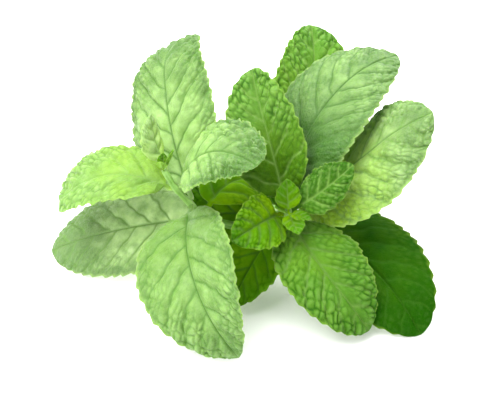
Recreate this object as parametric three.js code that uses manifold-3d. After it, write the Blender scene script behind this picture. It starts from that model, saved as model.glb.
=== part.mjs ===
// Sprig of garden mint, cut and lying on a surface: a square main stem with one side shoot, each
// ending in a head of leaves. Millimetres, +Z up, the surface is z = 0, and the front is -Y.
// Mint leaves grow in opposite pairs, each pair turned a quarter turn from the pair below it.
import * as THREE from 'three';
import manifoldLibrary from 'manifold-3d';

const wasm = await manifoldLibrary();
wasm.setup();

const DEGREE = Math.PI / 180;

// --- driving dimensions -------------------------------------------------------------------------
const STEM_WIDTH = 3.0;        // main stem, across its flat sides, at the cut
const STEM_TOP_WIDTH = 2.0;    // main stem under its growing tip
const SHOOT_WIDTH = 2.4;       // side shoot where it leaves the main stem
const SHOOT_TOP_WIDTH = 1.6;
const FLAT_SHARE = 0.6;        // flat part of each side, the rest is the rounded corner
const NODE_SWELLING = 0.2;     // extra width where a pair of leaves leaves the stem
const SWELLING_REACH = 1.6;    // how far along the stem that swelling reaches
const TIP_GROWTH = 0.8;        // stem above its last pair of leaves
const SHOOT_TIP_GROWTH = 0.6;
const BUD_RADIUS = 1.3;
const BUD_STANDOFF = 1.9;      // from the end of a stem to the centre of its bud
const STALK_ROOT = 2.6;        // from a stem's centre line to where a leaf stalk starts
const STALK_RADIUS = 0.8;
const STALK_FLARE = 1.2;       // of that radius at the stem
const STALK_TAPER = 0.4;       // of that radius, lost on the way into the blade
const STALK_SINK = 0.08;       // share of the blade that the stalk runs on into
const BLADE_THICKNESS = 0.7;
const MIDRIB_DEPTH = 0.5;      // how far the midrib stands out under the blade
const GROOVE_DEPTH = 0.25;     // the midrib's groove on the upper face
const QUILTING = 0.4;          // swell of the blade between side veins, up and down
const TOOTH_HEIGHT = 0.8;      // teeth along the edge
const TIP_SHARE = 0.6;         // part of a tooth's height that stands outside the plain outline
const TIP_LEAN = 0.3;          // how far a tooth's tip leans forward, in rows
const ROOM_WIDTH = 6;          // half width under which relief and teeth shrink with the blade
const EDGE_QUILTING = 0.4;     // share of the quilting that is left at the edge
const TOOTH_SPACING = 3.6;
const VEIN_SWEEP = 0.13;       // how far side veins run forward, as a share of the length
const VEIN_BEND = 1.3;         // exponent that bends side veins forward towards the edge
const RIB_TAPER = 0.8;         // share of the midrib's depth that is lost on the way to the tip
const NOD_START = 0.65;        // share of the blade after which the tip nods
const WIDEST = 0.86;           // exponent that sets the widest place behind the middle
const FULL_SIZE = 25;          // blades shorter than this have finer stalks and ribs in proportion

// Centre of the sprig's outline seen from above, in the frame that the places below are given in.
const FOOTPRINT_CENTRE = [-4.05, 1.65];

// Where the leaf pairs sit. 'main' nodes count down from the tip, 'side' nodes up from the fork.
const NODES = {
  main_1: [10.7, -13, 30],
  main_2: [10.5, -9.5, 27.5],
  main_3: [10.2, -4, 23.5],
  main_4: [9.8, 2, 18.8],
  main_5: [9.3, 7.5, 14],
  side_1: [-14, -3.5, 22],
  side_2: [-18, -5.5, 28],
  side_3: [-22, -7, 34.5],
  side_4: [-24.3, -7.6, 39.5],
};

// The stem's centre line under and over those nodes.
const CUT_END = [6.5, 46, STEM_WIDTH / 2];
const REST_START = [7, 27, STEM_WIDTH / 2];
const RISE = [[7.5, 21, 3.4], [8.5, 14, 8.5]];
const SHOOT_START = [10, -0.6, 21];
const SHOOT_BOW = [-3, -1, 16.5];

// Each leaf: yaw, pitch and roll of its stalk in degrees, then its sizes in millimetres, then how
// it bends over its length in degrees: arch down, nod of the tip, sway to its left, twist. fold is
// the rise of each half from the midrib and curl is how far each half bends back down to its edge.
// fullness below 1 rounds the outline out.
const LEAVES = [
  { name: 'left_back_leaf', node: 'side_2', yaw: 130, pitch: 55, roll: -55, stalk: 2, length: 56,
    width: 31, arch: 40, nod: 70, sway: -10, twist: -20, fold: 5, curl: 25, fullness: 0.45 },
  { name: 'left_front_leaf', node: 'side_2', yaw: -101.5, pitch: 10, roll: 31, stalk: 2, length: 52,
    width: 33, arch: 99, nod: 5, sway: 2, twist: 10, fold: 20, curl: 15, fullness: 0.73 },
  { name: 'left_outer_leaf', node: 'side_3', yaw: 165, pitch: 30, roll: 0, stalk: 1.5, length: 39,
    width: 25, arch: 90, nod: 5, sway: 20, twist: -15, fold: 15, curl: 25, fullness: 0.5 },
  { name: 'left_inner_leaf', node: 'side_3', yaw: -20, pitch: 85, roll: 20, stalk: 1.5, length: 35,
    width: 26, arch: 95, nod: -25, sway: -55, twist: -20, fold: 10, curl: 25, fullness: 0.48 },
  { name: 'left_low_leaf', node: 'side_1', yaw: 175, pitch: -8.8, roll: -35, stalk: 2, length: 49,
    width: 29, arch: 25, nod: 5, sway: 5, twist: 5, fold: 5, curl: 30, fullness: 0.5 },
  { name: 'shaded_leaf', node: 'side_1', yaw: 64, pitch: 39, roll: 0, stalk: 2, length: 34,
    width: 22, arch: 108, nod: 0, sway: -68, twist: 10, fold: 10, curl: 35, fullness: 0.55 },
  { name: 'left_young_leaf', node: 'side_4', yaw: 145, pitch: 60, roll: 10, stalk: 3, length: 14,
    width: 11, arch: -15, nod: 0, sway: -10, twist: 0, fold: 0, curl: 40, fullness: 0.7 },
  { name: 'young_right_leaf', node: 'main_1', yaw: -10, pitch: 40, roll: 45, stalk: 2, length: 20,
    width: 13, arch: 5, nod: 5, sway: 15, twist: 0, fold: 15, curl: 25, fullness: 0.6 },
  { name: 'young_left_leaf', node: 'main_1', yaw: -110, pitch: 30, roll: -50, stalk: 2, length: 21,
    width: 16, arch: 50, nod: 10, sway: 10, twist: -5, fold: 20, curl: 15, fullness: 0.6 },
  { name: 'upright_leaf', node: 'main_2', yaw: 120, pitch: 65, roll: -30, stalk: 2, length: 40,
    width: 24, arch: 25, nod: 20, sway: 10, twist: -20, fold: 25, curl: 5, fullness: 0.6 },
  { name: 'right_front_leaf', node: 'main_2', yaw: -68.5, pitch: -7, roll: 0, stalk: 1, length: 41.5,
    width: 26, arch: 45, nod: 30, sway: 32, twist: 10, fold: 15, curl: 25, fullness: 0.6 },
  { name: 'right_back_leaf', node: 'main_3', yaw: 80, pitch: 75, roll: -40, stalk: 4, length: 57,
    width: 33, arch: 70, nod: 15, sway: -20, twist: 5, fold: 10, curl: 25, fullness: 0.55 },
  { name: 'low_centre_leaf', node: 'main_3', yaw: -125, pitch: -20, roll: -5, stalk: 2, length: 28,
    width: 20, arch: 35, nod: 10, sway: -5, twist: 5, fold: 15, curl: 20, fullness: 0.6 },
  { name: 'fork_leaf', node: 'main_4', yaw: 160, pitch: -13, roll: -40, stalk: 2, length: 38,
    width: 24, arch: 0, nod: 15, sway: 0, twist: 0, fold: 10, curl: 25, fullness: 0.6 },
  { name: 'right_outer_leaf', node: 'main_4', yaw: -15, pitch: 45, roll: 0, stalk: 4, length: 52,
    width: 36, arch: -5, nod: 35, sway: 5, twist: 45, fold: 0, curl: 40, fullness: 0.55 },
  { name: 'tall_back_leaf', node: 'main_5', yaw: 50, pitch: 55, roll: 40, stalk: 5, length: 56,
    width: 29, arch: 30, nod: 15, sway: 20, twist: 5, fold: 20, curl: 15, fullness: 0.55 },
  { name: 'right_low_leaf', node: 'main_5', yaw: -40, pitch: 15, roll: 0, stalk: 5, length: 54,
    width: 34, arch: 50, nod: 10, sway: -20, twist: 20, fold: 15, curl: 25, fullness: 0.55 },
];

// --- small helpers ------------------------------------------------------------------------------
const vector = ([x, y, z]) => new THREE.Vector3(x, y, z);

function turn(frame, axis, angle) {
  for (const direction of [frame.along, frame.side, frame.up]) {
    if (direction !== axis) direction.applyAxisAngle(axis, angle);
  }
}

function copyFrame(frame, distance) {
  return {
    distance,
    point: frame.point.clone(),
    along: frame.along.clone(),
    side: frame.side.clone(),
    up: frame.up.clone(),
  };
}

// Joins rings of points, each ring listed the same way round, into one closed body.
function closedLoft(rings) {
  const count = rings[0].length;
  const points = rings.flat();
  const faces = [];
  for (let row = 0; row + 1 < rings.length; row += 1) {
    for (let k = 0; k < count; k += 1) {
      const a = row * count + k;
      const b = row * count + ((k + 1) % count);
      faces.push([a, b, b + count], [a, b + count, a + count]);
    }
  }
  const last = (rings.length - 1) * count;
  for (let k = 1; k + 1 < count; k += 1) {
    faces.push([0, k + 1, k], [last, last + k, last + k + 1]);
  }
  return solidOf(points, faces);
}

function solidOf(points, faces) {
  const mesh = new wasm.Mesh({
    numProp: 3,
    vertProperties: new Float32Array(points.flatMap((point) => point.toArray())),
    triVerts: new Uint32Array(faces.flat()),
  });
  return new wasm.Manifold(mesh);
}

function geometryOf(solid) {
  const mesh = solid.getMesh();
  const geometry = new THREE.BufferGeometry();
  const positions = new Float32Array(mesh.vertProperties);
  geometry.setAttribute('position', new THREE.BufferAttribute(positions, 3));
  geometry.setIndex(new THREE.BufferAttribute(new Uint32Array(mesh.triVerts), 1));
  geometry.computeVertexNormals();
  return geometry;
}

// --- leaf ---------------------------------------------------------------------------------------
// The midrib as frames along the stalk and the blade, walked in short steps from the stem's centre.
function spineOf(leaf) {
  const stalkSteps = 4;
  const bladeSteps = 30;
  const total = leaf.stalk + leaf.length;
  const [yaw, pitch] = [leaf.yaw * DEGREE, leaf.pitch * DEGREE];
  const level = Math.cos(pitch);
  const frame = {
    point: leaf.root.clone(),
    along: new THREE.Vector3(level * Math.cos(yaw), level * Math.sin(yaw), Math.sin(pitch)),
    side: new THREE.Vector3(-Math.sin(yaw), Math.cos(yaw), 0),
    up: new THREE.Vector3(),
  };
  frame.side.applyAxisAngle(frame.along, leaf.roll * DEGREE);
  frame.up.crossVectors(frame.along, frame.side);

  const frames = [];
  let distance = 0;
  for (let step = 0; step <= stalkSteps + bladeSteps; step += 1) {
    frames.push(copyFrame(frame, distance));
    const inBlade = step >= stalkSteps;
    const size = inBlade ? leaf.length / bladeSteps : leaf.stalk / stalkSteps;
    const share = (step - stalkSteps + 0.5) / bladeSteps;
    const nod = share > NOD_START ? (leaf.nod * size) / ((1 - NOD_START) * leaf.length) : 0;
    turn(frame, frame.side, ((leaf.arch * size) / total + nod) * DEGREE);
    turn(frame, frame.up, ((leaf.sway * size) / total) * DEGREE);
    turn(frame, frame.along, ((leaf.twist * size) / total) * DEGREE);
    frame.point.addScaledVector(frame.along, size);
    distance += size;
  }
  return frames;
}

function frameAt(frames, distance) {
  let k = 1;
  while (k + 1 < frames.length && frames[k].distance < distance) k += 1;
  const [before, after] = [frames[k - 1], frames[k]];
  const share = (distance - before.distance) / (after.distance - before.distance);
  const blend = (key) => before[key].clone().lerp(after[key], share);
  return {
    point: blend('point'),
    along: blend('along').normalize(),
    side: blend('side').normalize(),
    up: blend('up').normalize(),
  };
}

// Half of the blade's width at a share of its length.
function halfWidth(leaf, share) {
  const outline = Math.sin(Math.PI * share ** WIDEST) ** leaf.fullness;
  return Math.max(STALK_RADIUS * leaf.scale, (leaf.width / 2) * (outline || 0));
}

// A place on the blade's middle layer and its normal: across runs from -1 to 1, left edge to right.
function bladePlace(leaf, frames, share, across, outward) {
  const frame = frameAt(frames, leaf.stalk + leaf.length * share);
  const sign = Math.sign(across);
  const reach = Math.abs(across);
  const half = halfWidth(leaf, share) + outward;
  const fold = leaf.fold * DEGREE;
  const curl = leaf.curl * DEGREE;
  const lean = fold - curl * reach;
  const sideways = (half / curl) * (Math.sin(fold) - Math.sin(lean)) * sign;
  const height = (half / curl) * (Math.cos(lean) - Math.cos(fold));
  const normal = frame.up.clone().multiplyScalar(Math.cos(lean));
  normal.addScaledVector(frame.side, -sign * Math.sin(lean));
  if (sign === 0) normal.copy(frame.up);
  const point = frame.point.clone();
  point.addScaledVector(frame.side, sideways).addScaledVector(frame.up, height);
  return { point, normal };
}

// The blade: rows follow the side veins, two rows a tooth, and a side vein every second tooth.
function bladeSolid(leaf, frames) {
  const teeth = 2 * Math.max(1, Math.round(leaf.length / TOOTH_SPACING / 2));
  const rows = 2 * teeth;
  const columns = [-1, -0.5, 0, 0.5, 1];
  const rings = [];
  for (let row = 0; row <= rows; row += 1) {
    const upper = [];
    const lower = [];
    for (const across of columns) {
      const reach = Math.abs(across);
      const step = row / rows;
      const atEdge = reach === 1 && row > 0 && row < rows;
      const atTooth = atEdge && row % 2 === 1;
      const swept = step + VEIN_SWEEP * 4 * step * (1 - step) * reach ** VEIN_BEND;
      const share = Math.min(1, swept + (atTooth ? TIP_LEAN / rows : 0));
      const room = Math.min(1, halfWidth(leaf, share) / ROOM_WIDTH);
      const outward = atEdge ? (atTooth ? TIP_SHARE : TIP_SHARE - 1) * TOOTH_HEIGHT * room : 0;
      const { point, normal } = bladePlace(leaf, frames, share, across, outward);
      const depth = QUILTING * room * (reach === 1 ? EDGE_QUILTING : 1);
      const swell = -Math.cos((Math.PI * row) / 2) * depth;
      const relief = across === 0 ? -GROOVE_DEPTH * room : swell;
      const rib = across === 0 ? MIDRIB_DEPTH * leaf.scale * (1 - RIB_TAPER * step) : 0;
      const half = BLADE_THICKNESS / 2;
      upper.push(point.clone().addScaledVector(normal, relief + half));
      lower.push(point.clone().addScaledVector(normal, relief - half - rib));
    }
    rings.push([...upper, ...lower.reverse()]);
  }
  return closedStrip(rings, columns.length);
}

// Closes the blade's rings: matching triangles on both faces, then the edges and the ends.
function closedStrip(rings, columns) {
  const ring = 2 * columns;
  const faces = [];
  const quad = (a, b, c, d) => faces.push([a, c, b], [a, d, c]);
  const mirroredQuad = (a, b, c, d) => faces.push([b, a, d], [b, d, c]);
  for (let row = 0; row + 1 < rings.length; row += 1) {
    const here = row * ring;
    const next = here + ring;
    for (let k = 0; k < ring; k += 1) {
      const l = (k + 1) % ring;
      const isLowerFace = k >= columns && k < ring - 1;
      (isLowerFace ? mirroredQuad : quad)(here + k, here + l, next + l, next + k);
    }
  }
  const last = (rings.length - 1) * ring;
  for (let k = 0; k + 1 < columns; k += 1) {
    const m = ring - 1 - k;
    quad(k + 1, k, m, m - 1);
    quad(last + k, last + k + 1, last + m - 1, last + m);
  }
  return solidOf(rings.flat(), faces);
}

// The stalk: a slim six-sided stem, sunk into the base of the blade.
function stalkSolid(leaf, frames) {
  const end = leaf.stalk + STALK_SINK * leaf.length;
  const sides = 6;
  const rings = [];
  for (const share of [0, 0.35, 0.7, 1]) {
    const frame = frameAt(frames, end * share);
    const radius = STALK_RADIUS * leaf.scale * (STALK_FLARE - STALK_TAPER * share);
    const drop = (BLADE_THICKNESS / 2) * share;
    const ring = [];
    for (let k = 0; k < sides; k += 1) {
      const angle = (2 * Math.PI * (k + 0.5)) / sides;
      const point = frame.point.clone().addScaledVector(frame.up, -drop);
      point.addScaledVector(frame.side, radius * Math.cos(angle));
      ring.push(point.addScaledVector(frame.up, radius * Math.sin(angle)));
    }
    rings.push(ring);
  }
  return closedLoft(rings);
}

function leafSolid(settings) {
  const leaf = { scale: Math.min(1, settings.length / FULL_SIZE), ...settings };
  const frames = spineOf(leaf);
  return bladeSolid(leaf, frames).add(stalkSolid(leaf, frames));
}

// Where a leaf's stalk starts: beside its node, on the side of the stem that the stalk leans to.
function stalkRoot(leaf) {
  const stem = leaf.node.startsWith('main') ? mainNodes : sideNodes;
  const node = vector(NODES[leaf.node]);
  const k = stem.findIndex((point) => point.equals(node));
  const before = stem[Math.max(0, k - 1)];
  const after = stem[Math.min(stem.length - 1, k + 1)];
  const stemLine = after.clone().sub(before).normalize();
  const level = Math.cos(leaf.pitch * DEGREE);
  const outward = new THREE.Vector3(level * Math.cos(leaf.yaw * DEGREE),
    level * Math.sin(leaf.yaw * DEGREE), Math.sin(leaf.pitch * DEGREE));
  outward.projectOnPlane(stemLine).normalize();
  return node.addScaledVector(outward, STALK_ROOT);
}

// --- stem ---------------------------------------------------------------------------------------
// One square stem along a list of points, wider at the leaf nodes, its sides kept level. It
// tapers after its first stretch where that lies flat on the surface.
function stemSolid(points, startWidth, endWidth, nodes, flatLength = 0) {
  const lengths = [0];
  for (let k = 1; k < points.length; k += 1) {
    lengths.push(lengths[k - 1] + points[k].distanceTo(points[k - 1]));
  }
  const rings = points.map((point, k) => {
    const before = points[Math.max(0, k - 1)];
    const after = points[Math.min(points.length - 1, k + 1)];
    const along = after.clone().sub(before).normalize();
    const side = along.clone().cross(new THREE.Vector3(0, 0, 1)).normalize();
    const up = side.clone().cross(along);
    const nearest = Math.min(...nodes.map((node) => node.distanceTo(point)));
    const swelling = 1 + NODE_SWELLING * Math.exp(-((nearest / SWELLING_REACH) ** 2));
    const whole = lengths[lengths.length - 1];
    const share = Math.max(0, (lengths[k] - flatLength) / (whole - flatLength));
    const half = (THREE.MathUtils.lerp(startWidth, endWidth, share) / 2) * swelling;
    const flat = half * FLAT_SHARE;
    const corners = [[half, flat], [flat, half], [-flat, half], [-half, flat],
      [-half, -flat], [-flat, -half], [flat, -half], [half, -flat]];
    return corners.map(([x, z]) => point.clone().addScaledVector(side, x).addScaledVector(up, z));
  });
  return closedLoft(rings.map((ring) => ring.reverse()));
}

function smoothRun(points, pieces) {
  return new THREE.CatmullRomCurve3(points, false, 'centripetal').getSpacedPoints(pieces);
}

const mainNodes = ['main_1', 'main_2', 'main_3', 'main_4', 'main_5'].map((key) => vector(NODES[key]));
const sideNodes = ['side_1', 'side_2', 'side_3', 'side_4'].map((key) => vector(NODES[key]));
const growth = mainNodes[0].clone().sub(mainNodes[1]).normalize();
const mainTip = mainNodes[0].clone().addScaledVector(growth, TIP_GROWTH);
const shootGrowth = sideNodes[3].clone().sub(sideNodes[2]).normalize();
const sideTip = sideNodes[3].clone().addScaledVector(shootGrowth, SHOOT_TIP_GROWTH);

function stemNode() {
  const rise = [REST_START, ...RISE].map(vector);
  const climb = smoothRun([...rise, ...mainNodes.toReversed(), mainTip], 22);
  const flatLength = vector(CUT_END).distanceTo(vector(REST_START));
  const run = [vector(CUT_END), ...climb];
  const main = stemSolid(run, STEM_WIDTH, STEM_TOP_WIDTH, mainNodes, flatLength);
  const climbing = smoothRun([vector(SHOOT_START), vector(SHOOT_BOW), ...sideNodes, sideTip], 18);
  const side = stemSolid(climbing, SHOOT_WIDTH, SHOOT_TOP_WIDTH, sideNodes);
  return main.add(side);
}

// --- growing tips -------------------------------------------------------------------------------
// Tiny leaves folded round the end of a stem, fused where they meet.
function budSolid(centre, youngLeaves) {
  const core = new THREE.IcosahedronGeometry(BUD_RADIUS, 0);
  core.translate(...centre.toArray());
  let bud = solidFromGeometry(core);
  for (const young of youngLeaves) {
    const leaf = { roll: 0, stalk: 1, nod: 0, sway: 0, twist: 0, fold: 20, curl: 10, fullness: 0.7 };
    bud = bud.add(leafSolid({ ...leaf, ...young, root: centre }));
  }
  return outerBody(bud);
}

// The outer skin alone, so that no pocket stays sealed between the leaves.
function outerBody(solid) {
  return solid.decompose().reduce((best, body) => (body.volume() > best.volume() ? body : best));
}

function solidFromGeometry(geometry) {
  const source = geometry.attributes.position;
  const points = [];
  const indexOf = new Map();
  const corners = [];
  for (let k = 0; k < source.count; k += 1) {
    const point = new THREE.Vector3().fromBufferAttribute(source, k);
    const key = point.toArray().map((value) => value.toFixed(4)).join(' ');
    if (!indexOf.has(key)) {
      indexOf.set(key, points.length);
      points.push(point);
    }
    corners.push(indexOf.get(key));
  }
  const faces = [];
  for (let k = 0; k < corners.length; k += 3) faces.push(corners.slice(k, k + 3));
  return solidOf(points, faces);
}

const mainBud = mainTip.clone().addScaledVector(growth, BUD_STANDOFF);
const sideBud = sideTip.clone().addScaledVector(shootGrowth, BUD_STANDOFF);

// --- the sprig ----------------------------------------------------------------------------------
const sprig = new THREE.Group();

function addNode(name, solid, colour, roughness) {
  const material = new THREE.MeshStandardMaterial({ color: colour, roughness, metalness: 0 });
  const mesh = new THREE.Mesh(geometryOf(solid), material);
  mesh.name = name;
  sprig.add(mesh);
}

addNode('stem', stemNode(), 0x8fb85c, 0.55);
for (const leaf of LEAVES) {
  addNode(leaf.name, leafSolid({ ...leaf, root: stalkRoot(leaf) }), 0x6fae3e, 0.6);
}
addNode('main_bud', budSolid(mainBud, [
  { yaw: -72, pitch: -15, length: 8, width: 6.5, arch: -10 },
  { yaw: 100, pitch: 65, length: 9, width: 7.5, arch: -10 },
  { yaw: -165, pitch: 25, length: 4, width: 3.4, arch: -15 },
  { yaw: -25, pitch: -10, length: 6, width: 5, arch: -15 },
]), 0x8cc63f, 0.6);
addNode('side_bud', budSolid(sideBud, [
  { yaw: -15, pitch: 60, length: 7, width: 4.5, arch: -10 },
  { yaw: -100, pitch: 50, length: 4, width: 3.4, arch: -15 },
  { yaw: 80, pitch: 70, length: 4, width: 3.4, arch: -15 },
]), 0x8cc63f, 0.6);

sprig.position.set(-FOOTPRINT_CENTRE[0], -FOOTPRINT_CENTRE[1], 0);

export default sprig;
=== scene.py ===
import math

import bpy
import numpy as np
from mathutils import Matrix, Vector


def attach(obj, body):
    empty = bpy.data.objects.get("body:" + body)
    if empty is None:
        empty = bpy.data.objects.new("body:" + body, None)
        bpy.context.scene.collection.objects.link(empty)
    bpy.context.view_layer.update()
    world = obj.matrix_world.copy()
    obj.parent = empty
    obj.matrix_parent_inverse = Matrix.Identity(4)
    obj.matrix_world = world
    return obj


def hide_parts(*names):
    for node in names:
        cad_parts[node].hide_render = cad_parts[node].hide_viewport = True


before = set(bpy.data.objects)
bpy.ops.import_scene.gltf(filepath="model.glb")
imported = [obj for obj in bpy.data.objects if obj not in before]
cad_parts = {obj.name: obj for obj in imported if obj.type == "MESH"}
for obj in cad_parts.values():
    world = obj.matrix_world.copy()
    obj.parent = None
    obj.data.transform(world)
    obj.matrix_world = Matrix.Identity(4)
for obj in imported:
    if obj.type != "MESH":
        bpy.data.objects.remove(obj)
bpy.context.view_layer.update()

MM = 0.001
DEGREE = math.pi / 180

# --- driving dimensions, the same as in the solids ----------------------------------------------
STEM_WIDTH = 3.0
STEM_TOP_WIDTH = 2.0
SHOOT_WIDTH = 2.4
SHOOT_TOP_WIDTH = 1.6
NODE_SWELLING = 0.2        # extra width where a pair of leaves leaves the stem
SWELLING_REACH = 1.6       # how far along the stem that swelling reaches
TIP_GROWTH = 0.8           # stem above its last pair of leaves, on the main stem and the shoot
SHOOT_TIP_GROWTH = 0.6
BUD_STANDOFF = 1.9         # from the end of a stem to the centre of its bud
STALK_ROOT = 2.6           # from a stem's centre line to where a leaf's stalk starts
STALK_RADIUS = 0.8
TOOTH_HEIGHT = 0.8
TOOTH_SPACING = 3.6
ROOM_WIDTH = 6             # half width under which relief and teeth shrink with the blade
NOD_START = 0.65           # share of the blade after which its tip nods
WIDEST = 0.86              # exponent that sets the widest place of a blade
FULL_SIZE = 25             # blades shorter than this are finer in every detail
FOOTPRINT_CENTRE = np.array([-4.05, 1.65, 0.0])

NODES = {
    "main_1": (10.7, -13, 30), "main_2": (10.5, -9.5, 27.5), "main_3": (10.2, -4, 23.5),
    "main_4": (9.8, 2, 18.8), "main_5": (9.3, 7.5, 14), "side_1": (-14, -3.5, 22),
    "side_2": (-18, -5.5, 28), "side_3": (-22, -7, 34.5), "side_4": (-24.3, -7.6, 39.5),
}
NODES = {key: np.array(place, float) for key, place in NODES.items()}
MAIN_NODES = [NODES[f"main_{k}"] for k in range(1, 6)]
SIDE_NODES = [NODES[f"side_{k}"] for k in range(1, 5)]
CUT_END = (6.5, 46, STEM_WIDTH / 2)
REST_START = (7, 27, STEM_WIDTH / 2)
RISE = [(7.5, 21, 3.4), (8.5, 14, 8.5)]
SHOOT_START = (10, -0.6, 21)
SHOOT_BOW = (-3, -1, 16.5)

# --- finer sizes that only the looks need -------------------------------------------------------
GRID = 0.32                # size of one face of a leaf's mesh
STALK_GRID = 0.5           # length of one face of a stalk
BASE_SPARE = 0.55          # how far the base of a blade reaches past the edge of the solid
SKIN = 0.17                # half the blade's thickness
HEEL = 1.7                 # how far a stalk runs on into the stem
TIP_REACH = 1.2            # how far a stem runs on into its bud
STALK_ABOVE = 0.45         # thickness of a stalk above its middle line, and below it
STALK_BELOW = 0.95
TOOTH_CREST = 0.78         # where the point of a tooth stands, as a share of the tooth
VEIN_LEAD = 0.42           # how far side veins run forward, as a share of the blade
VEIN_START = 0.18          # share of the blade over which that lead sets in
VEIN_WIDTH = 0.34          # about half the width of a side vein, and of the midrib at its base
MIDRIB_WIDTH = 0.6
VEIN_GROOVE = 0.32         # depth of the groove over a side vein, and over the midrib
MIDRIB_GROOVE = 0.4
MIDRIB_RIB = 0.62          # how far the midrib, a side vein and the net stand out underneath
SIDE_RIB = 0.16
NET_RIB = 0.07
NET_CELL = 1.95            # about the size of a cell of the net of small veins
NET_WIDTH = 0.17           # width of a vein of the net, as a share of a cell
WAVES = 0.22               # height of the blade's long irregular waves

POSTURE = "node yaw pitch roll stalk length width arch nod sway twist fold curl fullness".split()
LOOKS = "pale warm deep light_veins base_shade tip_shade quilt spread".split()
# Posture as in the solids, then how light in tone, how yellow and how dark the leaf is, how much
# lighter its veins are than the blade, how much painted shade darkens its base and its tip, how
# strongly it is quilted, and how far the quilting spreads from the tip and the edges over the
# rest of the blade. The light tone is partly the leaf's own and partly painted sheen, and well
# over 1 it is painted light on leaves that lie in shade; the dark tone is partly the leaf's own
# and partly painted shade; the yellow is partly the young leaf's own and partly a painted glow
# of light shining through the blade.
LEAVES = {
    "left_back_leaf": ("side_2", 130, 55, -55, 2, 56, 31, 40, 70, -10, -20, 5, 25, .45,
                       1, .2, 0, 0, 0, 1.5, 1.3, .1),
    "left_front_leaf": ("side_2", -101.5, 10, 31, 2, 52, 33, 99, 5, 2, 10, 20, 15, .73,
                        .88, .3, 0, 0, .5, .9, 1.4, .15),
    "left_outer_leaf": ("side_3", 165, 30, 0, 1.5, 39, 25, 90, 5, 20, -15, 15, 25, .5,
                        .75, .9, 0, .5, .3, 0, 1.5, .3),
    "left_inner_leaf": ("side_3", -20, 85, 20, 1.5, 35, 26, 95, -25, -55, -20, 10, 25, .48,
                        .95, .1, 0, 0, 0, 1.6, 3, 0),
    "left_low_leaf": ("side_1", 175, -8.8, -35, 2, 49, 29, 25, 5, 5, 5, 5, 30, .5,
                      1.6, 0, 0, .15, 0, 2.4, .7, .1),
    "shaded_leaf": ("side_1", 64, 39, 0, 2, 34, 22, 108, 0, -68, 10, 10, 35, .55,
                    0, .9, .05, .3, 0, .8, .6, .1),
    "left_young_leaf": ("side_4", 145, 60, 10, 3, 14, 11, -15, 0, -10, 0, 0, 40, .7,
                        1.5, 1.6, 0, .6, 0, 0, .9, .3),
    "young_right_leaf": ("main_1", -10, 40, 45, 2, 20, 13, 5, 5, 15, 0, 15, 25, .6,
                         .08, .1, .62, .55, .1, .8, 3, .6),
    "young_left_leaf": ("main_1", -110, 30, -50, 2, 21, 16, 50, 10, 10, -5, 20, 15, .6,
                        0, 1, .45, .25, .1, .1, 1.2, .3),
    "upright_leaf": ("main_2", 120, 65, -30, 2, 40, 24, 25, 20, 10, -20, 25, 5, .6,
                     .25, .5, .25, .5, 1.2, .2, 1.6, .4),
    "right_front_leaf": ("main_2", -68.5, -7, 0, 1, 41.5, 26, 45, 30, 32, 10, 15, 25, .6,
                         .12, .3, .4, .35, .2, .5, 1.4, .5),
    "right_back_leaf": ("main_3", 80, 75, -40, 4, 57, 33, 70, 15, -20, 5, 10, 25, .55,
                        1.02, 0, .1, 0, 1.4, 1.3, .8, .15),
    "low_centre_leaf": ("main_3", -125, -20, -5, 2, 28, 20, 35, 10, -5, 5, 15, 20, .6,
                        0, .7, .1, .1, 0, 0, .3, .1),
    "fork_leaf": ("main_4", 160, -13, -40, 2, 38, 24, 0, 15, 0, 0, 10, 25, .6,
                  0, .7, .3, .2, 0, 0, .6, .1),
    "right_outer_leaf": ("main_4", -15, 45, 0, 4, 52, 36, -5, 35, 5, 45, 0, 40, .55,
                         1.4, 1.2, 0, .1, 1.1, 1.2, 1.3, .35),
    "tall_back_leaf": ("main_5", 50, 55, 40, 5, 56, 29, 30, 15, 20, 5, 20, 15, .55,
                       .2, .9, .2, .5, .2, .3, 1.3, .3),
    # right_low_leaf lies under the leaves above it: its dark tone is partly its own and partly
    # painted shade.
    "right_low_leaf": ("main_5", -40, 15, 0, 5, 54, 34, 50, 10, -20, 20, 15, 25, .55,
                       0, .2, .96, .05, 0, 0, .25, .1),
}
# Young leaves round the two growing tips: yaw, pitch, length, width, arch.
MAIN_BUD = [(-72, -15, 8, 6.5, -10), (100, 65, 9, 7.5, -10), (-165, 25, 4, 3.4, -15),
            (-25, -10, 6, 5, -15)]
SIDE_BUD = [(-15, 60, 7, 4.5, -10), (-100, 50, 4, 3.4, -15), (80, 70, 4, 3.4, -15)]
BUD_QUILT = 0.8
BUD_SPREAD = 0.3
LEAF_SEED = 100            # first seed of the irregularities of the leaves, and of the buds
BUD_SEED = 300


# --- small helpers ------------------------------------------------------------------------------
def unit(vectors):
    return vectors / np.linalg.norm(vectors, axis=-1, keepdims=True)


def turned(vector, axis, angle):
    cosine, sine = math.cos(angle), math.sin(angle)
    level = vector * cosine + np.cross(axis, vector) * sine
    return level + axis * np.dot(axis, vector) * (1 - cosine)


def smoothstep(low, high, value):
    share = np.clip((value - low) / (high - low), 0, 1)
    return share * share * (3 - 2 * share)


def hermite(places, values, wanted):
    """Smooth values between known ones, given by row, at the wanted places."""
    slopes = np.gradient(values, places, axis=0)
    k = np.clip(np.searchsorted(places, wanted) - 1, 0, len(places) - 2)
    size = (places[k + 1] - places[k])[..., None]
    u = ((wanted - places[k]) / (places[k + 1] - places[k]))[..., None]
    return ((2 * u ** 3 - 3 * u ** 2 + 1) * values[k]
            + (u ** 3 - 2 * u ** 2 + u) * size * slopes[k]
            + (3 * u ** 2 - 2 * u ** 3) * values[k + 1]
            + (u ** 3 - u ** 2) * size * slopes[k + 1])


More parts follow.
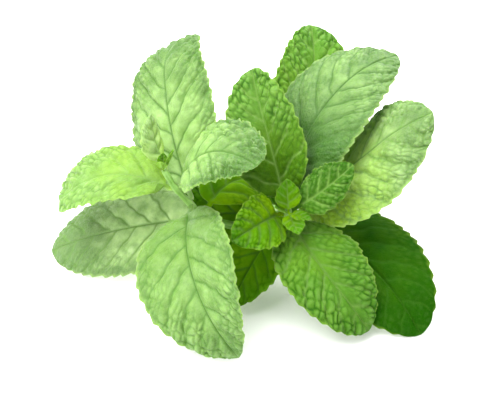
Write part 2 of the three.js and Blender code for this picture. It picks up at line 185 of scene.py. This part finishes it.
def ripples(x, y, wavelength, draws):
    """Smooth irregular waves over a plane, from about -1 to 1."""
    count = 6
    total = np.zeros(np.broadcast(x, y).shape)
    for _ in range(count):
        angle = draws.uniform(0, 2 * math.pi)
        pace = 2 * math.pi / (wavelength * draws.uniform(0.7, 1.6))
        start = draws.uniform(0, 2 * math.pi)
        total += np.sin(pace * (x * math.cos(angle) + y * math.sin(angle)) + start)
    return total / math.sqrt(count * 1.5)


def cells(x, y, draws):
    """How much nearer the nearest jittered point is than the next, with one point a square."""
    size = 64                  # the pattern repeats after this many squares
    jitter = draws.uniform(0.18, 0.82, (size, size, 2))
    column, row = np.floor(x).astype(int), np.floor(y).astype(int)
    nearest = np.full(x.shape, 9.0)
    second = np.full(x.shape, 9.0)
    for i in (-1, 0, 1):
        for j in (-1, 0, 1):
            point = jitter[(column + i) % size, (row + j) % size]
            away = np.hypot(column + i + point[..., 0] - x, row + j + point[..., 1] - y)
            second = np.minimum(second, np.maximum(nearest, away))
            nearest = np.minimum(nearest, away)
    return second - nearest


# --- leaf ---------------------------------------------------------------------------------------
def heading(leaf):
    yaw, pitch = leaf["yaw"] * DEGREE, leaf["pitch"] * DEGREE
    level = math.cos(pitch)
    return np.array([level * math.cos(yaw), level * math.sin(yaw), math.sin(pitch)])


def stalk_root(leaf):
    """Where a leaf's stalk starts, and the way from the stem's centre line to there."""
    stem = MAIN_NODES if leaf["node"].startswith("main") else SIDE_NODES
    k = [key for key in NODES if key[0] == leaf["node"][0]].index(leaf["node"])
    line = unit(stem[min(len(stem) - 1, k + 1)] - stem[max(0, k - 1)])
    outward = heading(leaf)
    outward = unit(outward - line * np.dot(outward, line))
    return NODES[leaf["node"]] + outward * STALK_ROOT, outward


def spine_of(leaf, root, outward):
    """The midrib as frames: distance from the stem, place, side and up."""
    stalk_steps, blade_steps = 4, 30
    total = leaf["stalk"] + leaf["length"]
    along = heading(leaf)
    yaw = leaf["yaw"] * DEGREE
    side = turned(np.array([-math.sin(yaw), math.cos(yaw), 0]), along, leaf["roll"] * DEGREE)
    up = np.cross(along, side)
    point, distance = np.array(root, float), 0.0
    rows = [(-HEEL, point - outward * HEEL, side, up)]
    for step in range(stalk_steps + blade_steps + 1):
        rows.append((distance, point, side, up))
        if step < stalk_steps:
            size = leaf["stalk"] / stalk_steps
        else:
            size = leaf["length"] / blade_steps
        share = (step - stalk_steps + 0.5) / blade_steps
        nod = leaf["nod"] * size / ((1 - NOD_START) * leaf["length"]) if share > NOD_START else 0
        angle = (leaf["arch"] * size / total + nod) * DEGREE
        along, up = turned(along, side, angle), turned(up, side, angle)
        angle = leaf["sway"] * size / total * DEGREE
        along, side = turned(along, up, angle), turned(side, up, angle)
        angle = leaf["twist"] * size / total * DEGREE
        side, up = turned(side, along, angle), turned(up, along, angle)
        point = point + along * size
        distance += size
    distances = np.array([row[0] for row in rows])
    return distances, *(np.array([row[k] for row in rows]) for k in (1, 2, 3))


def half_width(leaf, share):
    inside = np.clip(share, 0, 1)
    outline = np.clip(np.sin(np.pi * inside ** WIDEST), 0, 1) ** leaf["fullness"]
    least = STALK_RADIUS * leaf["scale"] * (1 - inside) + 0.1 * inside
    return np.maximum(least, leaf["width"] / 2 * outline)


def saw(phase):
    """A tooth that leans towards the leaf's tip: a long rise and a short fall."""
    place = phase % 1
    rise = (place / TOOTH_CREST) ** 0.8
    return np.where(place <= TOOTH_CREST, rise, (1 - place) / (1 - TOOTH_CREST))


def swept(step, reach):
    """Share of the length reached by the side vein that left the midrib at the given share."""
    lead = (1 - step ** 2) * (1 - np.exp(-step / VEIN_START))
    return step + VEIN_LEAD * lead * reach ** 1.1


def leaf_mesh(leaf, root, outward, quilt, spread, seed):
    """One closed skin of a stalk and its blade: points, faces and values for the material."""
    draws = np.random.default_rng(seed)
    length = leaf["length"]
    leaf["scale"] = scale = min(1, length / FULL_SIZE)
    spine = spine_of(leaf, root, outward)

    # Rows follow each other from the stem to the tip, each bent forward as a side vein is.
    # Columns run from the right edge to the left and stand closer at the midrib and the edges.
    stalk_rows = max(4, round((leaf["stalk"] + HEEL) / STALK_GRID))
    stalk_share = np.linspace(-(leaf["stalk"] + HEEL) / length, 0, stalk_rows, endpoint=False)
    dense = np.linspace(0, 1, 2000)
    blade_rows = max(24, round(length / GRID))
    blade_step = np.interp(np.linspace(0, 1, blade_rows), (dense + swept(dense, 1)) / 2, dense)
    step = np.concatenate([np.zeros(stalk_rows), blade_step])[:, None]
    half_count = max(8, round(leaf["width"] / 2 / GRID))
    even = np.linspace(-1, 1, 2 * half_count + 1)[None, :]
    across = even - 0.5 / (2 * math.pi) * np.sin(2 * math.pi * even)
    reach = np.abs(across)
    share = swept(step, reach)
    share[:stalk_rows] = stalk_share[:, None]
    share = np.minimum(share, 1)
    half = half_width(leaf, share)
    room = np.minimum(1, half / ROOM_WIDTH)
    on_blade = smoothstep(0, 0.06, share)
    near_edge = smoothstep(0.84, 1, reach) * on_blade

    # Saw teeth along both edges.
    teeth = max(4, round(length / (TOOTH_SPACING * (0.5 + 0.5 * scale))))
    edge_share = swept(step, 1)
    jog = 0.25 * ripples(edge_share * length, across, 9, draws)
    tooth = saw(edge_share * teeth + jog)
    tooth = tooth * smoothstep(0.1, 0.25, edge_share) * smoothstep(1.0, 0.97, edge_share)
    half = half + near_edge * TOOTH_HEIGHT * room * (tooth - 0.4)
    x, y = share * length, across * half

    # Side veins, closer in small leaves, and the net between them.
    veins = round(3.2 + length / 13)
    offset = np.where(across < 0, 0.0, 0.35)
    wander = 0.07 * ripples(x, y, 11, draws) + 0.05 * ripples(x, y, 4.5, draws)
    count = veins * step ** 0.92 + offset + wander
    spacing = length / veins * 0.62
    from_vein = np.abs(count - np.round(count)) * spacing
    vein_width = VEIN_WIDTH * (1 - 0.35 * reach) * (0.45 + 0.55 * scale)
    side_vein = np.exp(-(from_vein / vein_width) ** 2)
    side_vein = side_vein * (1 - 0.5 * smoothstep(0.6, 1, reach)) * on_blade
    side_line = np.exp(-(from_vein / vein_width / 0.9) ** 2) * (1 - 0.4 * reach ** 3)
    groove = np.exp(-(from_vein / vein_width / 1.8) ** 2)
    between = 0.5 - 0.5 * np.cos(2 * math.pi * count)
    net_size = NET_CELL * (0.3 + 0.7 * scale ** 3)
    side_start = np.where(across < 0, 3, 33)
    net = cells(0.75 * (x - np.abs(y)) / net_size + 0.2 * ripples(x, y, 5, draws) + side_start,
                0.55 * (x + np.abs(y)) / net_size + 0.2 * ripples(x, y, 5, draws) + 20, draws)
    net_vein = np.exp(-(net / NET_WIDTH) ** 2)
    netted = spread + (1 - spread) * smoothstep(0.3, 0.9, 0.55 * reach + 0.6 * share
                                              + 0.15 * ripples(x, y, 14, draws))
    netted = netted * on_blade * smoothstep(0.05, 0.3, reach)
    midrib_width = MIDRIB_WIDTH * (1 - 0.55 * np.clip(share, 0, 1)) * (0.35 + 0.65 * scale)
    midrib = np.exp(-(y / midrib_width) ** 2)

    # Height of the blade: bulges between grooved veins, quilting inside the net, long waves.
    swell = 0.15 + 0.4 * min(1.3, quilt)
    relief = swell * between ** 0.7 * smoothstep(0.02, 0.3, reach) * (1 - 0.5 * reach ** 4)
    relief -= VEIN_GROOVE * min(1, quilt + 0.2) * groove * smoothstep(0, 0.1, reach)
    pillow = 0.25 * net_size * (smoothstep(0, 0.55, net) - 0.6)
    relief += quilt * netted * pillow * (1 - 0.4 * reach ** 6)
    relief += WAVES * ripples(x, y, 13, draws) * smoothstep(0.1, 0.6, reach)
    relief = (relief - 0.15 - MIDRIB_GROOVE * midrib) * room * on_blade

    # Thickness: a half-round stalk that thins out into the blade, with ribs underneath.
    round_edge = np.sqrt(np.clip(1 - reach ** 10, 0, 1))
    bow = np.sqrt(np.clip(1 - reach ** 2, 0, 1))
    skin = SKIN * (1 - 0.4 * reach ** 3) * round_edge
    above = skin * on_blade + STALK_ABOVE * scale * bow * (1 - on_blade)
    rib = MIDRIB_RIB * scale * (1 - 0.85 * np.clip(share, 0, 1)) * midrib
    rib = rib + SIDE_RIB * room * side_vein
    net_rib = NET_RIB * room * netted * net_vein
    below = (skin + rib * round_edge + net_rib * round_edge) * on_blade
    below = below + STALK_BELOW * scale * bow * (1 - on_blade)

    # The section's middle line is folded along the midrib and curled, then set on the spine.
    distance = leaf["stalk"] + length * share
    widen = 1 + 0.35 * smoothstep(0.8, -HEEL, distance)
    half = half * widen + BASE_SPARE * smoothstep(0.5, 0.1, share) * on_blade
    point, side, up = (hermite(spine[0], values, distance) for values in spine[1:])
    side, up = unit(side), unit(up)
    fold = leaf["fold"] * DEGREE * on_blade
    curl = np.maximum(leaf["curl"] * DEGREE * on_blade, 0.02)
    lean = fold - curl * reach
    sign = np.sign(across)
    sideways = (half / curl * (np.sin(fold) - np.sin(lean)) * sign)[..., None]
    height = (half / curl * (np.cos(lean) - np.cos(fold)))[..., None]
    middle = point + side * sideways + up * height
    slant = lean * smoothstep(0, 0.06, reach)
    normal = up * np.cos(slant)[..., None] - side * (sign * np.sin(slant))[..., None]
    upper = middle + normal * (relief + above)[..., None]
    lower = middle + normal * (relief - below)[..., None]

    midrib_line = np.exp(-(y / midrib_width / 0.7) ** 2)
    vein = np.maximum(midrib_line, side_line) * on_blade
    # Painted highlight: the crowns of the quilting are coloured lighter, as if lit.
    crown_highlight = 0.3 * min(2.2, quilt) * netted * smoothstep(0.2, 0.7, net)
    values = {"vein": vein, "net": netted * net_vein, "crown_highlight": crown_highlight, "share": share,
              "across": np.broadcast_to(across, share.shape), "x": x, "y": y}
    return closed_skin(upper, lower, values)


def tube(rings):
    """A closed tube through rings that turn counterclockwise, seen from the first one."""
    rows, ring = rings.shape[:2]
    row = np.arange(rows - 1)[:, None] * ring
    around = np.arange(ring)
    following = (around + 1) % ring
    a, b = row + around, row + following
    quads = np.stack([a, a + ring, b + ring, b], axis=-1).reshape(-1, 4)
    first, last = rows * ring, (rows - 1) * ring
    caps = np.concatenate([
        np.stack([around, following, np.full(ring, first)], axis=-1),
        np.stack([last + following, last + around, np.full(ring, first + 1)], axis=-1)])
    points = np.concatenate([rings.reshape(-1, 3), [rings[0].mean(0), rings[-1].mean(0)]])
    return points, quads, caps


def closed_skin(upper, lower, values):
    """Joins an upper and a lower sheet along their edges and closes both ends."""
    columns = upper.shape[1]
    inner = slice(columns - 2, 0, -1)
    rings = np.concatenate([upper, lower[:, inner]], axis=1)
    made = {}
    for key, value in values.items():
        flat = np.concatenate([value, value[:, inner]], axis=1).reshape(-1)
        made[key] = np.concatenate([flat, [flat[0], flat[-1]]])
    under = np.zeros(rings.shape[:2])
    under[:, columns:] = 1
    under[:, [0, columns - 1]] = 0.5
    made["under"] = np.concatenate([under.reshape(-1), [0.5, 0.5]])
    return *tube(rings), made


def add_object(name, parts, material):
    """One Blender mesh object of several closed skins, in metres."""
    starts = np.cumsum([0] + [len(part[0]) for part in parts])
    points = np.concatenate([part[0] for part in parts])
    quads = np.concatenate([part[1] + start for part, start in zip(parts, starts)])
    caps = np.concatenate([part[2] + start for part, start in zip(parts, starts)])
    values = {key: np.concatenate([part[3][key] for part in parts]) for key in parts[0][3]}
    mesh = bpy.data.meshes.new(name)
    mesh.vertices.add(len(points))
    mesh.vertices.foreach_set("co", ((points - FOOTPRINT_CENTRE) * MM).astype(np.float32).ravel())
    corners = np.concatenate([quads.ravel(), caps.ravel()]).astype(np.int32)
    mesh.loops.add(len(corners))
    mesh.loops.foreach_set("vertex_index", corners)
    sizes = np.concatenate([np.full(len(quads), 4), np.full(len(caps), 3)]).astype(np.int32)
    mesh.polygons.add(len(sizes))
    mesh.polygons.foreach_set("loop_start", (np.cumsum(sizes) - sizes).astype(np.int32))
    mesh.polygons.foreach_set("use_smooth", np.ones(len(sizes), bool))
    mesh.update(calc_edges=True)
    for key, value in values.items():
        layer = mesh.attributes.new(key, "FLOAT", "POINT")
        layer.data.foreach_set("value", value.astype(np.float32))
    mesh.materials.append(material)
    piece = bpy.data.objects.new(name, mesh)
    bpy.context.scene.collection.objects.link(piece)
    return piece


# --- stem ---------------------------------------------------------------------------------------
STEM_COLUMNS = 48
STEM_ROWS = 110            # rows of faces of a stem's rising part, and of its part on the table
FLAT_ROWS = 40
STEM_TRIM = 0.97           # width of the stem's skin, as a share of the solid's
STEM_SQUARENESS = 5.0      # 2 gives a round stem, more a squarer one
STEM_HOLLOW = 0.06         # depth of the hollow in each side, as a share of the radius
STEM_UNEVEN = 0.012
NODE_REACH = 2.2           # how far along the stem the paler colour of a node reaches


def smooth_run(points, pieces):
    """Evenly spaced places on a centripetal Catmull-Rom curve through the points."""
    samples = 40
    p = [np.array(point, float) for point in points]
    p = [2 * p[0] - p[1], *p, 2 * p[-1] - p[-2]]
    dense = []
    for k in range(1, len(p) - 2):
        x0, x1, x2, x3 = p[k - 1:k + 3]
        d0, d1, d2 = (math.sqrt(np.linalg.norm(b - a)) for a, b in ((x0, x1), (x1, x2), (x2, x3)))
        t1 = ((x1 - x0) / d0 - (x2 - x0) / (d0 + d1) + (x2 - x1) / d1) * d1
        t2 = ((x2 - x1) / d1 - (x3 - x1) / (d1 + d2) + (x3 - x2) / d2) * d1
        u = np.linspace(0, 1, samples, endpoint=k == len(p) - 3)[:, None]
        dense.append(x1 + t1 * u + (-3 * x1 + 3 * x2 - 2 * t1 - t2) * u ** 2
                     + (2 * x1 - 2 * x2 + t1 + t2) * u ** 3)
    dense = np.concatenate(dense)
    lengths = np.concatenate([[0], np.cumsum(np.linalg.norm(np.diff(dense, axis=0), axis=1))])
    wanted = np.linspace(0, lengths[-1], pieces + 1)
    return np.stack([np.interp(wanted, lengths, dense[:, k]) for k in range(3)], axis=1)


def stem_mesh(points, start_width, end_width, nodes, flat_length, seed):
    """A square stem with rounded ridges, hollowed sides and swollen nodes."""
    draws = np.random.default_rng(seed)
    lengths = np.concatenate([[0], np.cumsum(np.linalg.norm(np.diff(points, axis=0), axis=1))])
    along = unit(np.gradient(points, axis=0))
    side = unit(np.cross(along, [0, 0, 1]))
    up = np.cross(side, along)
    nearest = np.min([np.linalg.norm(points - node, axis=1) for node in nodes], axis=0)
    swelling = 1 + NODE_SWELLING * np.exp(-(nearest / SWELLING_REACH) ** 2)
    share = np.clip((lengths - flat_length) / (lengths[-1] - flat_length), 0, 1)
    half = (start_width + (end_width - start_width) * share) / 2 * swelling
    angle = 2 * math.pi * (np.arange(STEM_COLUMNS) + 0.5) / STEM_COLUMNS
    power = STEM_SQUARENESS
    square = (np.abs(np.cos(angle)) ** power + np.abs(np.sin(angle)) ** power) ** (-1 / power)
    hollow = 1 - STEM_HOLLOW * np.cos(4 * angle) ** 2 * (np.cos(4 * angle) > 0)
    radius = (square * hollow)[None, :] * half[:, None] * STEM_TRIM
    uneven = ripples(lengths[:, None], angle[None, :] * 2, 3, draws)
    radius = radius * (1 + STEM_UNEVEN * uneven)
    across, rise = radius * np.cos(angle), radius * np.sin(angle)
    rings = points[:, None] + side[:, None] * across[..., None] + up[:, None] * rise[..., None]
    x = np.broadcast_to(lengths[:, None], across.shape)
    y = np.broadcast_to(angle[None, :], across.shape)
    ridge = np.broadcast_to(0.5 - 0.5 * np.cos(4 * angle)[None, :], across.shape)
    node = np.broadcast_to(np.exp(-(nearest / NODE_REACH) ** 2)[:, None], across.shape)
    made = {key: np.concatenate([value.reshape(-1), [0, 0]])
            for key, value in {"x": x, "y": y, "ridge": ridge, "node": node}.items()}
    made["cut"] = np.concatenate([np.zeros(across.size), [1, 0]])
    return *tube(rings), made


# --- materials ----------------------------------------------------------------------------------
class Maker:
    """Short words for building a node material."""

    def __init__(self, name):
        self.material = bpy.data.materials.new(name)
        self.material.use_nodes = True
        self.tree = self.material.node_tree
        self.shader = self.tree.nodes["Principled BSDF"]

    def node(self, kind, **settings):
        made = self.tree.nodes.new(kind)
        for key, value in settings.items():
            setattr(made, key, value)
        return made

    def put(self, socket, value):
        if isinstance(value, bpy.types.NodeSocket):
            self.tree.links.new(value, socket)
        elif isinstance(value, tuple) and len(value) == 3 and socket.type == "RGBA":
            socket.default_value = (*value, 1)
        else:
            socket.default_value = value

    def attribute(self, name):
        return self.node("ShaderNodeAttribute", attribute_name=name).outputs["Fac"]

    def math(self, operation, a, b=0.0, clamp=False):
        made = self.node("ShaderNodeMath", operation=operation, use_clamp=clamp)
        for socket, value in zip(made.inputs, (a, b)):
            self.put(socket, value)
        return made.outputs[0]

    def mix(self, share, a, b):
        """Colour a where the share is 0 and colour b where it is 1."""
        made = self.node("ShaderNodeMix", data_type="RGBA")
        colour_a, colour_b, mixed = made.inputs[6], made.inputs[7], made.outputs[2]
        self.put(made.inputs["Factor"], share)
        self.put(colour_a, a)
        self.put(colour_b, b)
        return mixed

    def span(self, value, low, high, to_low=0.0, to_high=1.0):
        """Carries the span from low to high over to the span from to_low to to_high."""
        made = self.node("ShaderNodeMapRange")
        for socket, number in zip(made.inputs, (value, low, high, to_low, to_high)):
            self.put(socket, number)
        return made.outputs[0]

    def vector(self, x, y):
        made = self.node("ShaderNodeCombineXYZ")
        for socket, value in zip(made.inputs, (x, y)):
            self.put(socket, value)
        return made.outputs[0]

    def noise(self, vector, scale, detail=3.0):
        made = self.node("ShaderNodeTexNoise")
        self.put(made.inputs["Vector"], vector)
        made.inputs["Scale"].default_value = scale
        made.inputs["Detail"].default_value = detail
        return made.outputs["Fac"]

    def edges(self, vector, scale):
        made = self.node("ShaderNodeTexVoronoi", feature="DISTANCE_TO_EDGE")
        self.put(made.inputs["Vector"], vector)
        made.inputs["Scale"].default_value = scale
        return made.outputs["Distance"]

    def bump(self, height, distance):
        made = self.node("ShaderNodeBump")
        made.inputs["Distance"].default_value = distance
        made.inputs["Strength"].default_value = 1.0
        self.put(made.inputs["Height"], height)
        self.put(self.shader.inputs["Normal"], made.outputs["Normal"])


def blend(a, b, share):
    return tuple(x + (y - x) * share for x, y in zip(a, b))


# The looks say how far a blade's colour leans to each of the first three, and to yellow.
# PALE_AND_SHEEN is a light blue-green, partly the leaves' own tone and partly painted sheen.
# Light-tone looks above 1 paint light onto leaves that lie in shade: left_young_leaf,
# left_low_leaf and right_outer_leaf.
PALE_AND_SHEEN = (0.255, 0.40, 0.13)
MID = (0.066, 0.205, 0.001)
DEEP = (0.004, 0.045, 0.0001)
YELLOW = (0.21, 0.37, 0.001)
PALE_UNDER = (0.20, 0.35, 0.10)
VEIN_LIGHT = (0.24, 0.40, 0.09)
MARGIN = (0.22, 0.31, 0.05)
STEM_SHADE = (0.10, 0.25, 0.02)
STEM_LIGHT = (0.18, 0.36, 0.06)
STEM_RIDGE = (0.24, 0.42, 0.09)
STEM_NODE = (0.40, 0.62, 0.22)
CUT_FACE = (0.62, 0.72, 0.38)
PAPER = (0.94, 0.94, 0.94)
# Scales of the patterns in the materials: about how many features fit in a millimetre. The
# stem's are stretched along it.
MOTTLE = 0.22
PATCHES = 0.09
BROKEN_VEINS = 0.35
FINE_NET = 1.5
GRAIN = 5.0
STEM_STREAKS = 1.6
STEM_BLUSH = 0.8
STEM_GRAIN = 4.0


def leaf_material(name, pale, warm, deep, light_veins, base_shade, tip_shade):
    m = Maker(name)
    x, y = m.attribute("x"), m.attribute("y")
    plane = m.vector(x, y)
    share, across = m.attribute("share"), m.attribute("across")
    vein, net, under = m.attribute("vein"), m.attribute("net"), m.attribute("under")
    reach = m.math("ABSOLUTE", across)

    # Mottled blade, with painted highlights on the crowns of its quilting, and yellow patches
    # towards its base, partly its own yellow and partly a painted glow of light shining through
    # it.
    # The blade's tone: the light tone is partly painted sheen, and above 1 painted light on
    # leaves in shade; the dark tone is partly painted shade.
    body = blend(blend(MID, DEEP, deep), PALE_AND_SHEEN, pale)
    shade = blend(blend(body, MID, 0.45 * max(0, 1 - deep)), DEEP, 0.3)
    mottle = m.noise(plane, MOTTLE, 4.0)
    colour = m.mix(m.span(mottle, 0.35, 0.7), shade, body)
    colour = m.mix(m.attribute("crown_highlight"), colour, blend(body, PALE_AND_SHEEN, 0.35))
    # Yellow patches towards the base: partly the blade's own yellow, partly a painted glow of
    # light shining through it.
    patch = m.noise(plane, PATCHES, 2.0)
    golden_and_glow = m.math("MULTIPLY", m.span(share, 0.95, 0.0), m.span(patch, 0.35, 0.62))
    colour = m.mix(m.math("MULTIPLY", golden_and_glow, warm, clamp=True), colour,
                   blend(YELLOW, body, 0.25))

    # Painted shade: a darker tip and edge for the shade on the quilting and the curled edge,
    # and a darker base for the shade the leaves cast on each other inside the sprig.
    painted_rim_shade = m.math("MULTIPLY", m.span(reach, 0.65, 0.95), m.span(share, 0.15, 0.5))
    painted_tip_mask = m.math("MAXIMUM", m.span(share, 0.4, 0.9), painted_rim_shade)
    painted_tip_mask = m.math("MULTIPLY", painted_tip_mask, m.span(mottle, 0.8, 0.3, 0.4, 1.0))
    colour = m.mix(m.math("MULTIPLY", painted_tip_mask, tip_shade), colour, blend(shade, DEEP, 0.5))
    # Painted shade towards the base, where the leaves shade each other inside the sprig.
    colour = m.mix(m.span(share, 0.7, 0.2, 0.0, base_shade), colour,
                   blend(blend(MID, DEEP, 0.75), YELLOW, 0.5 * warm ** 2))

    # Veins from the finest to the midrib, and a pale margin.
    fine = m.edges(plane, FINE_NET)
    fine_share = 0.06 + 0.16 * min(pale, 1)
    colour = m.mix(m.span(fine, 0.0, 0.10, fine_share, 0.0), colour, blend(body, VEIN_LIGHT, 0.5))
    # The dark colour of the veins is partly their own darker green and partly painted shade in
    # the grooves over them.
    vein_and_groove_shade = blend(blend(body, MID, 0.7), DEEP, min(0.9, 0.5 + 1.5 * deep))
    patchy = m.span(m.noise(plane, BROKEN_VEINS, 1.0), 0.35, 0.6, 0.3, 1.0)
    colour = m.mix(m.math("MULTIPLY", net, patchy), colour, vein_and_groove_shade)
    colour = m.mix(m.math("MULTIPLY", vein, 1.0 - 0.4 * light_veins), colour,
                   blend(vein_and_groove_shade, VEIN_LIGHT, light_veins))
    edge = m.span(reach, 0.93, 1.0, 0.0, 0.55)
    colour = m.mix(edge, colour, blend(MARGIN, body, 0.4))

    # Paler underside with light veins.
    below = blend(blend(PALE_UNDER, YELLOW, 0.6 * min(warm, 1)), body, 0.35)
    below = m.mix(m.math("MULTIPLY", vein, 0.8), below, blend(VEIN_LIGHT, below, 0.3))
    colour = m.mix(under, colour, below)
    m.put(m.shader.inputs["Base Color"], colour)

    grain = m.noise(plane, GRAIN, 2.0)
    m.put(m.shader.inputs["Roughness"], m.span(grain, 0.3, 0.7, 0.32, 0.5))
    m.shader.inputs["Specular IOR Level"].default_value = 0.01 + 0.24 * min(pale, 1)
    m.shader.inputs["Sheen Weight"].default_value = 0.05 * min(pale, 1)
    m.shader.inputs["Sheen Roughness"].default_value = 0.4
    m.shader.inputs["Subsurface Weight"].default_value = 0.5
    m.shader.inputs["Subsurface Radius"].default_value = (0.6, 1.0, 0.2)
    m.shader.inputs["Subsurface Scale"].default_value = 0.3 * MM
    height = m.math("ADD", m.span(fine, 0.0, 0.25), m.math("MULTIPLY", grain, 0.6))
    m.bump(height, 0.09 * MM)
    return m.material


def stem_material():
    m = Maker("stem_skin")
    x, y = m.attribute("x"), m.attribute("y")
    drawn_out = m.vector(m.math("MULTIPLY", x, 0.12), m.math("MULTIPLY", y, 3.0))
    streaks = m.noise(drawn_out, STEM_STREAKS, 4.0)
    colour = m.mix(m.span(streaks, 0.35, 0.65), STEM_SHADE, STEM_LIGHT)
    colour = m.mix(m.math("MULTIPLY", m.attribute("ridge"), 0.45), colour, STEM_RIDGE)
    blush = m.math("MULTIPLY", m.attribute("node"), m.noise(m.vector(x, y), STEM_BLUSH))
    colour = m.mix(m.math("MULTIPLY", blush, 0.4), colour, STEM_NODE)
    colour = m.mix(m.attribute("cut"), colour, CUT_FACE)
    m.put(m.shader.inputs["Base Color"], colour)
    drawn_out = m.vector(m.math("MULTIPLY", x, 0.4), m.math("MULTIPLY", y, 3.0))
    grain = m.noise(drawn_out, STEM_GRAIN)
    m.put(m.shader.inputs["Roughness"], m.span(grain, 0.3, 0.7, 0.35, 0.55))
    m.shader.inputs["Specular IOR Level"].default_value = 0.5
    m.shader.inputs["Subsurface Weight"].default_value = 0.3
    m.shader.inputs["Subsurface Radius"].default_value = (0.6, 1.0, 0.25)
    m.shader.inputs["Subsurface Scale"].default_value = 0.8 * MM
    m.bump(grain, 0.12 * MM)
    return m.material


# --- the sprig ----------------------------------------------------------------------------------
main_growth = unit(MAIN_NODES[0] - MAIN_NODES[1])
main_tip = MAIN_NODES[0] + main_growth * TIP_GROWTH
side_growth = unit(SIDE_NODES[3] - SIDE_NODES[2])
side_tip = SIDE_NODES[3] + side_growth * SHOOT_TIP_GROWTH


def finish_piece(piece, node):
    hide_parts(node)
    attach(piece, "root")


for seed, (name, row) in enumerate(LEAVES.items(), LEAF_SEED):
    leaf = dict(zip(POSTURE, row))
    looks = dict(zip(LOOKS, row[len(POSTURE):]))
    root, outward = stalk_root(leaf)
    skin = leaf_mesh(leaf, root, outward, looks.pop("quilt"), looks.pop("spread"), seed)
    piece = add_object(f"{name}_blade", [skin], leaf_material(f"{name}_skin", **looks))
    finish_piece(piece, name)

# The bud's leaves get a little painted shade towards their bases.
bud_skin = leaf_material("bud_skin", pale=0.0, warm=0.8, deep=0.25, light_veins=0.4,
                         base_shade=0.3, tip_shade=0.0)
for name, rows, tip, growth in (("main_bud", MAIN_BUD, main_tip, main_growth),
                                ("side_bud", SIDE_BUD, side_tip, side_growth)):
    centre = tip + growth * BUD_STANDOFF
    skins = []
    for seed, (yaw, pitch, length, width, arch) in enumerate(rows, BUD_SEED):
        leaf = dict(yaw=yaw, pitch=pitch, roll=0, stalk=1, length=length, width=width, arch=arch,
                    nod=0, sway=0, twist=0, fold=20, curl=10, fullness=0.7)
        skins.append(leaf_mesh(leaf, centre, growth, BUD_QUILT, BUD_SPREAD, seed))
    finish_piece(add_object(f"{name}_leaves", skins, bud_skin), name)

main_end = main_tip + main_growth * TIP_REACH
run = smooth_run([REST_START, *RISE, *MAIN_NODES[::-1], main_end], STEM_ROWS)
flat_run = np.linspace(CUT_END, REST_START, FLAT_ROWS, endpoint=False)
flat_length = float(np.linalg.norm(np.subtract(REST_START, CUT_END)))
main_stem = stem_mesh(np.concatenate([flat_run, run]), STEM_WIDTH, STEM_TOP_WIDTH, MAIN_NODES,
                      flat_length, seed=1)
side_end = side_tip + side_growth * TIP_REACH
shoot = smooth_run([SHOOT_START, SHOOT_BOW, *SIDE_NODES, side_end], STEM_ROWS)
side_stem = stem_mesh(shoot, SHOOT_WIDTH, SHOOT_TOP_WIDTH, SIDE_NODES, 0, seed=2)
finish_piece(add_object("stem_skin", [main_stem, side_stem], stem_material()), "stem")

# --- studio -------------------------------------------------------------------------------------
# Metres from here on.
FLOOR = 3.0                # half the width of the table
AIM = Vector((4.05, -1.65, 25)) * MM
ELEVATION = 35 * DEGREE    # the camera's angle over the table, and its distance from the aim
DISTANCE = 0.418

scene = bpy.context.scene
floor_mesh = bpy.data.meshes.new("floor")
floor_mesh.from_pydata([(-FLOOR, -FLOOR, 0), (FLOOR, -FLOOR, 0), (FLOOR, FLOOR, 0),
                        (-FLOOR, FLOOR, 0)], [], [(0, 1, 2, 3)])
floor = bpy.data.objects.new("floor", floor_mesh)
scene.collection.objects.link(floor)
paper = Maker("pale_table")
paper.put(paper.shader.inputs["Base Color"], PAPER)
paper.shader.inputs["Roughness"].default_value = 0.7
floor_mesh.materials.append(paper.material)

world = bpy.data.worlds.new("studio")
world.use_nodes = True
background = world.node_tree.nodes["Background"]
background.inputs["Color"].default_value = (1, 1, 1, 1)
background.inputs["Strength"].default_value = 1.05
scene.world = world


def facing_sprig(place):
    return (AIM - place).to_track_quat("-Z", "Y").to_euler()


def softbox(name, place, size, power):
    """A square area light that faces the sprig, its power in watts."""
    data = bpy.data.lights.new(name, "AREA")
    data.shape = "SQUARE"
    data.size = size
    data.energy = power
    lamp = bpy.data.objects.new(name, data)
    lamp.location = Vector(place)
    lamp.rotation_euler = facing_sprig(lamp.location)
    scene.collection.objects.link(lamp)


softbox("top_light", (-0.25, -0.17, 0.86), 0.7, 17.0)
softbox("front_light", (-0.5, -0.7, 0.5), 0.6, 5.5)
softbox("back_light", (0.35, 0.55, 0.6), 0.6, 10.0)

camera_data = bpy.data.cameras.new("camera")
camera_data.lens = 100
camera_data.sensor_width = 36
camera = bpy.data.objects.new("camera", camera_data)
camera.location = AIM + Vector((0, -math.cos(ELEVATION), math.sin(ELEVATION))) * DISTANCE
camera.rotation_euler = facing_sprig(camera.location)
scene.collection.objects.link(camera)
scene.camera = camera
scene.view_settings.view_transform = "Standard"
